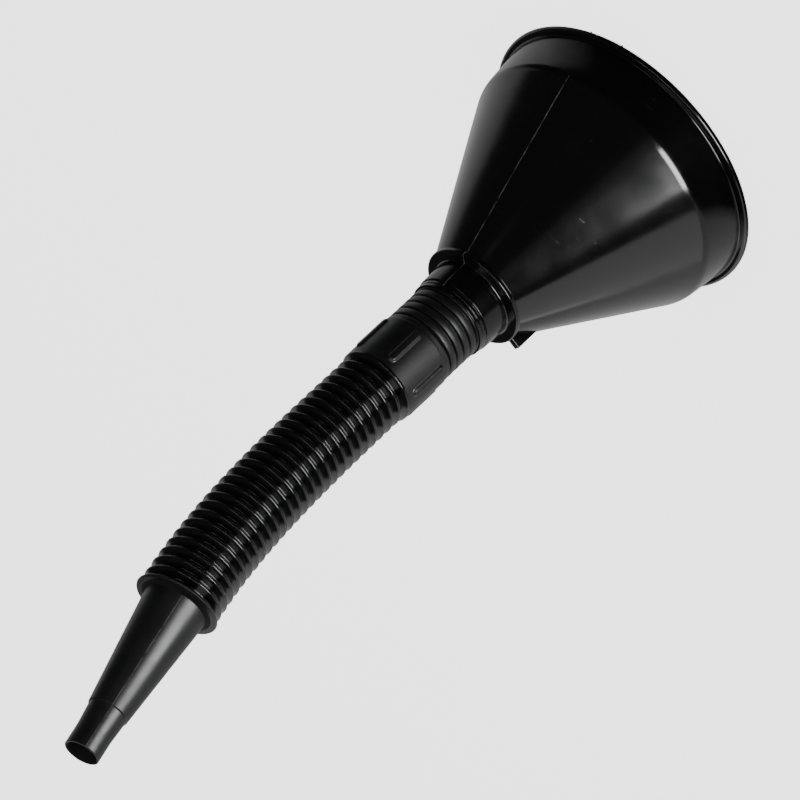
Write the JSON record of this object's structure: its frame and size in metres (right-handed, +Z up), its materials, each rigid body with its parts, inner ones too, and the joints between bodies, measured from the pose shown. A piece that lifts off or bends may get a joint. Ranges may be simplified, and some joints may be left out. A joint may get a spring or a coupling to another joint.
{
  "type": "funnel",
  "caption": "Black plastic pouring funnel with a removable gauze strainer and a push-fit, bendable corrugated spout that ends in a tapered nozzle.",
  "frame": {"origin": "centre of the rim's face, which the funnel stands on upside down", "axes": "+Z up along the bowl's axis from the rim to the spout; the resting hose bends towards -X"},
  "size_m": [0.16, 0.16, 0.4431],
  "materials": {
    "gloss_black": "glossy injection-moulded polypropylene",
    "satin_black": "satin blow-moulded polyethylene",
    "strainer_black": "semi-gloss moulded plastic",
    "gauze": "woven wire"
  },
  "bodies": {
    "bowl": {"funnel_bowl": "gloss_black"},
    "strainer": {"strainer_ring": "strainer_black", "strainer_gauze": "gauze"},
    "neck": {"spout_neck": "satin_black"},
    "collar": {"spout_collar": "satin_black"},
    "fold_ring_01": {"hose_ring_01": "satin_black"},
    "fold_ring_02": {"hose_ring_02": "satin_black"},
    "fold_ring_03": {"hose_ring_03": "satin_black"},
    "fold_ring_04": {"hose_ring_04": "satin_black"},
    "fold_ring_05": {"hose_ring_05": "satin_black"},
    "fold_ring_06": {"hose_ring_06": "satin_black"},
    "fold_ring_07": {"hose_ring_07": "satin_black"},
    "fold_ring_08": {"hose_ring_08": "satin_black"},
    "fold_ring_09": {"hose_ring_09": "satin_black"},
    "fold_ring_10": {"hose_ring_10": "satin_black"},
    "fold_ring_11": {"hose_ring_11": "satin_black"},
    "fold_ring_12": {"hose_ring_12": "satin_black"},
    "fold_ring_13": {"hose_ring_13": "satin_black"},
    "fold_ring_14": {"hose_ring_14": "satin_black"},
    "fold_ring_15": {"hose_ring_15": "satin_black"},
    "fold_ring_16": {"hose_ring_16": "satin_black"},
    "fold_ring_17": {"hose_ring_17": "satin_black"},
    "fold_ring_18": {"hose_ring_18": "satin_black"},
    "fold_ring_19": {"hose_ring_19": "satin_black"},
    "fold_ring_20": {"hose_ring_20": "satin_black"},
    "fold_ring_21": {"hose_ring_21": "satin_black"},
    "fold_ring_22": {"hose_ring_22": "satin_black"},
    "fold_ring_23": {"hose_ring_23": "satin_black"},
    "fold_ring_24": {"hose_ring_24": "satin_black"},
    "fold_ring_25": {"hose_ring_25": "satin_black"},
    "fold_ring_26": {"hose_ring_26": "satin_black"},
    "nozzle": {"nozzle": "satin_black"}
  },
  "joints": [
    {"name": "strainer_lift_out", "type": "slide", "parent": "bowl", "child": "strainer", "axis": [0, 0, -1], "range_m": [0, 0.09]},
    {"name": "spout_pull_off", "type": "slide", "parent": "bowl", "child": "neck", "axis": [0, 0, 1], "range_m": [0, 0.06]},
    {"name": "spout_swivel", "type": "hinge", "parent": "neck", "child": "collar", "pos_m": [0, 0, 0.16106], "axis": [0, 0, 1], "continuous": true},
    {"name": "hose_fold_01", "type": "hinge", "parent": "collar", "child": "fold_ring_01", "pos_m": [0, 0, 0.19741], "axis": [0, 1, 0], "range_deg": [-6, 6], "stiffness_Nm_per_rad": 8},
    {"name": "hose_fold_02", "type": "hinge", "parent": "fold_ring_01", "child": "fold_ring_02", "pos_m": [0, 0, 0.20331], "axis": [1, 0, 0.0005], "range_deg": [-6, 6], "stiffness_Nm_per_rad": 8},
    {"name": "hose_fold_03", "type": "hinge", "parent": "fold_ring_02", "child": "fold_ring_03", "pos_m": [-0.00001, 0, 0.20921], "axis": [0, 1, 0], "range_deg": [-6, 6], "stiffness_Nm_per_rad": 8},
    {"name": "hose_fold_04", "type": "hinge", "parent": "fold_ring_03", "child": "fold_ring_04", "pos_m": [-0.00002, 0, 0.21511], "axis": [1, 0, 0.0026], "range_deg": [-6, 6], "stiffness_Nm_per_rad": 8},
    {"name": "hose_fold_05", "type": "hinge", "parent": "fold_ring_04", "child": "fold_ring_05", "pos_m": [-0.00004, 0, 0.22101], "axis": [0, 1, 0], "range_deg": [-6, 6], "stiffness_Nm_per_rad": 8},
    {"name": "hose_fold_06", "type": "hinge", "parent": "fold_ring_05", "child": "fold_ring_06", "pos_m": [-0.00007, 0, 0.22691], "axis": [1, 0, 0.0069], "range_deg": [-6, 6], "stiffness_Nm_per_rad": 8},
    {"name": "hose_fold_07", "type": "hinge", "parent": "fold_ring_06", "child": "fold_ring_07", "pos_m": [-0.00012, 0, 0.23281], "axis": [0, 1, 0], "range_deg": [-6, 6], "stiffness_Nm_per_rad": 8},
    {"name": "hose_fold_08", "type": "hinge", "parent": "fold_ring_07", "child": "fold_ring_08", "pos_m": [-0.00019, 0, 0.23871], "axis": [0.9999, 0, 0.0136], "range_deg": [-6, 6], "stiffness_Nm_per_rad": 8},
    {"name": "hose_fold_09", "type": "hinge", "parent": "fold_ring_08", "child": "fold_ring_09", "pos_m": [-0.00028, 0, 0.24461], "axis": [0, 1, 0], "range_deg": [-6, 6], "stiffness_Nm_per_rad": 8},
    {"name": "hose_fold_10", "type": "hinge", "parent": "fold_ring_09", "child": "fold_ring_10", "pos_m": [-0.0004, 0, 0.25051], "axis": [0.9997, 0, 0.0229], "range_deg": [-6, 6], "stiffness_Nm_per_rad": 8},
    {"name": "hose_fold_11", "type": "hinge", "parent": "fold_ring_10", "child": "fold_ring_11", "pos_m": [-0.00055, 0, 0.25641], "axis": [0, 1, 0], "range_deg": [-6, 6], "stiffness_Nm_per_rad": 8},
    {"name": "hose_fold_12", "type": "hinge", "parent": "fold_ring_11", "child": "fold_ring_12", "pos_m": [-0.00073, 0, 0.26231], "axis": [0.9994, 0, 0.0348], "range_deg": [-6, 6], "stiffness_Nm_per_rad": 8},
    {"name": "hose_fold_13", "type": "hinge", "parent": "fold_ring_12", "child": "fold_ring_13", "pos_m": [-0.00096, 0, 0.2682], "axis": [0, 1, 0], "range_deg": [-6, 6], "stiffness_Nm_per_rad": 8},
    {"name": "hose_fold_14", "type": "hinge", "parent": "fold_ring_13", "child": "fold_ring_14", "pos_m": [-0.00123, 0, 0.2741], "axis": [0.9988, 0, 0.0494], "range_deg": [-6, 6], "stiffness_Nm_per_rad": 8},
    {"name": "hose_fold_15", "type": "hinge", "parent": "fold_ring_14", "child": "fold_ring_15", "pos_m": [-0.00154, 0, 0.27999], "axis": [0, 1, 0], "range_deg": [-6, 6], "stiffness_Nm_per_rad": 8},
    {"name": "hose_fold_16", "type": "hinge", "parent": "fold_ring_15", "child": "fold_ring_16", "pos_m": [-0.00191, 0, 0.28588], "axis": [0.9978, 0, 0.067], "range_deg": [-6, 6], "stiffness_Nm_per_rad": 8},
    {"name": "hose_fold_17", "type": "hinge", "parent": "fold_ring_16", "child": "fold_ring_17", "pos_m": [-0.00233, 0, 0.29176], "axis": [0, 1, 0], "range_deg": [-6, 6], "stiffness_Nm_per_rad": 8},
    {"name": "hose_fold_18", "type": "hinge", "parent": "fold_ring_17", "child": "fold_ring_18", "pos_m": [-0.00282, 0, 0.29764], "axis": [0.9962, 0, 0.0874], "range_deg": [-6, 6], "stiffness_Nm_per_rad": 8},
    {"name": "hose_fold_19", "type": "hinge", "parent": "fold_ring_18", "child": "fold_ring_19", "pos_m": [-0.00336, 0, 0.30352], "axis": [0, 1, 0], "range_deg": [-6, 6], "stiffness_Nm_per_rad": 8},
    {"name": "hose_fold_20", "type": "hinge", "parent": "fold_ring_19", "child": "fold_ring_20", "pos_m": [-0.00398, 0, 0.30938], "axis": [0.9938, 0, 0.1108], "range_deg": [-6, 6], "stiffness_Nm_per_rad": 8},
    {"name": "hose_fold_21", "type": "hinge", "parent": "fold_ring_20", "child": "fold_ring_21", "pos_m": [-0.00467, 0, 0.31524], "axis": [0, 1, 0], "range_deg": [-6, 6], "stiffness_Nm_per_rad": 8},
    {"name": "hose_fold_22", "type": "hinge", "parent": "fold_ring_21", "child": "fold_ring_22", "pos_m": [-0.00544, 0, 0.32109], "axis": [0.9906, 0, 0.1371], "range_deg": [-6, 6], "stiffness_Nm_per_rad": 8},
    {"name": "hose_fold_23", "type": "hinge", "parent": "fold_ring_22", "child": "fold_ring_23", "pos_m": [-0.00629, 0, 0.32693], "axis": [0, 1, 0], "range_deg": [-6, 6], "stiffness_Nm_per_rad": 8},
    {"name": "hose_fold_24", "type": "hinge", "parent": "fold_ring_23", "child": "fold_ring_24", "pos_m": [-0.00722, 0, 0.33276], "axis": [0.986, 0, 0.1665], "range_deg": [-6, 6], "stiffness_Nm_per_rad": 8},
    {"name": "hose_fold_25", "type": "hinge", "parent": "fold_ring_24", "child": "fold_ring_25", "pos_m": [-0.00825, 0, 0.33857], "axis": [0, 1, 0], "range_deg": [-6, 6], "stiffness_Nm_per_rad": 8},
    {"name": "hose_fold_26", "type": "hinge", "parent": "fold_ring_25", "child": "fold_ring_26", "pos_m": [-0.00938, 0, 0.34436], "axis": [0.98, 0, 0.1988], "range_deg": [-6, 6], "stiffness_Nm_per_rad": 8},
    {"name": "hose_fold_27", "type": "hinge", "parent": "fold_ring_26", "child": "nozzle", "pos_m": [-0.0106, 0, 0.35013], "axis": [0, 1, 0], "range_deg": [-6, 6], "stiffness_Nm_per_rad": 8}
  ],
  "couplings": [
    {"joint": "hose_fold_03", "follows": "hose_fold_01", "ratio": 1},
    {"joint": "hose_fold_04", "follows": "hose_fold_02", "ratio": 1},
    {"joint": "hose_fold_05", "follows": "hose_fold_01", "ratio": 1},
    {"joint": "hose_fold_06", "follows": "hose_fold_02", "ratio": 1},
    {"joint": "hose_fold_07", "follows": "hose_fold_01", "ratio": 1},
    {"joint": "hose_fold_08", "follows": "hose_fold_02", "ratio": 1},
    {"joint": "hose_fold_09", "follows": "hose_fold_01", "ratio": 1},
    {"joint": "hose_fold_10", "follows": "hose_fold_02", "ratio": 1},
    {"joint": "hose_fold_11", "follows": "hose_fold_01", "ratio": 1},
    {"joint": "hose_fold_12", "follows": "hose_fold_02", "ratio": 1},
    {"joint": "hose_fold_13", "follows": "hose_fold_01", "ratio": 1},
    {"joint": "hose_fold_14", "follows": "hose_fold_02", "ratio": 1},
    {"joint": "hose_fold_15", "follows": "hose_fold_01", "ratio": 1},
    {"joint": "hose_fold_16", "follows": "hose_fold_02", "ratio": 1},
    {"joint": "hose_fold_17", "follows": "hose_fold_01", "ratio": 1},
    {"joint": "hose_fold_18", "follows": "hose_fold_02", "ratio": 1},
    {"joint": "hose_fold_19", "follows": "hose_fold_01", "ratio": 1},
    {"joint": "hose_fold_20", "follows": "hose_fold_02", "ratio": 1},
    {"joint": "hose_fold_21", "follows": "hose_fold_01", "ratio": 1},
    {"joint": "hose_fold_22", "follows": "hose_fold_02", "ratio": 1},
    {"joint": "hose_fold_23", "follows": "hose_fold_01", "ratio": 1},
    {"joint": "hose_fold_24", "follows": "hose_fold_02", "ratio": 1},
    {"joint": "hose_fold_25", "follows": "hose_fold_01", "ratio": 1},
    {"joint": "hose_fold_26", "follows": "hose_fold_02", "ratio": 1},
    {"joint": "hose_fold_27", "follows": "hose_fold_01", "ratio": 1}
  ]
}
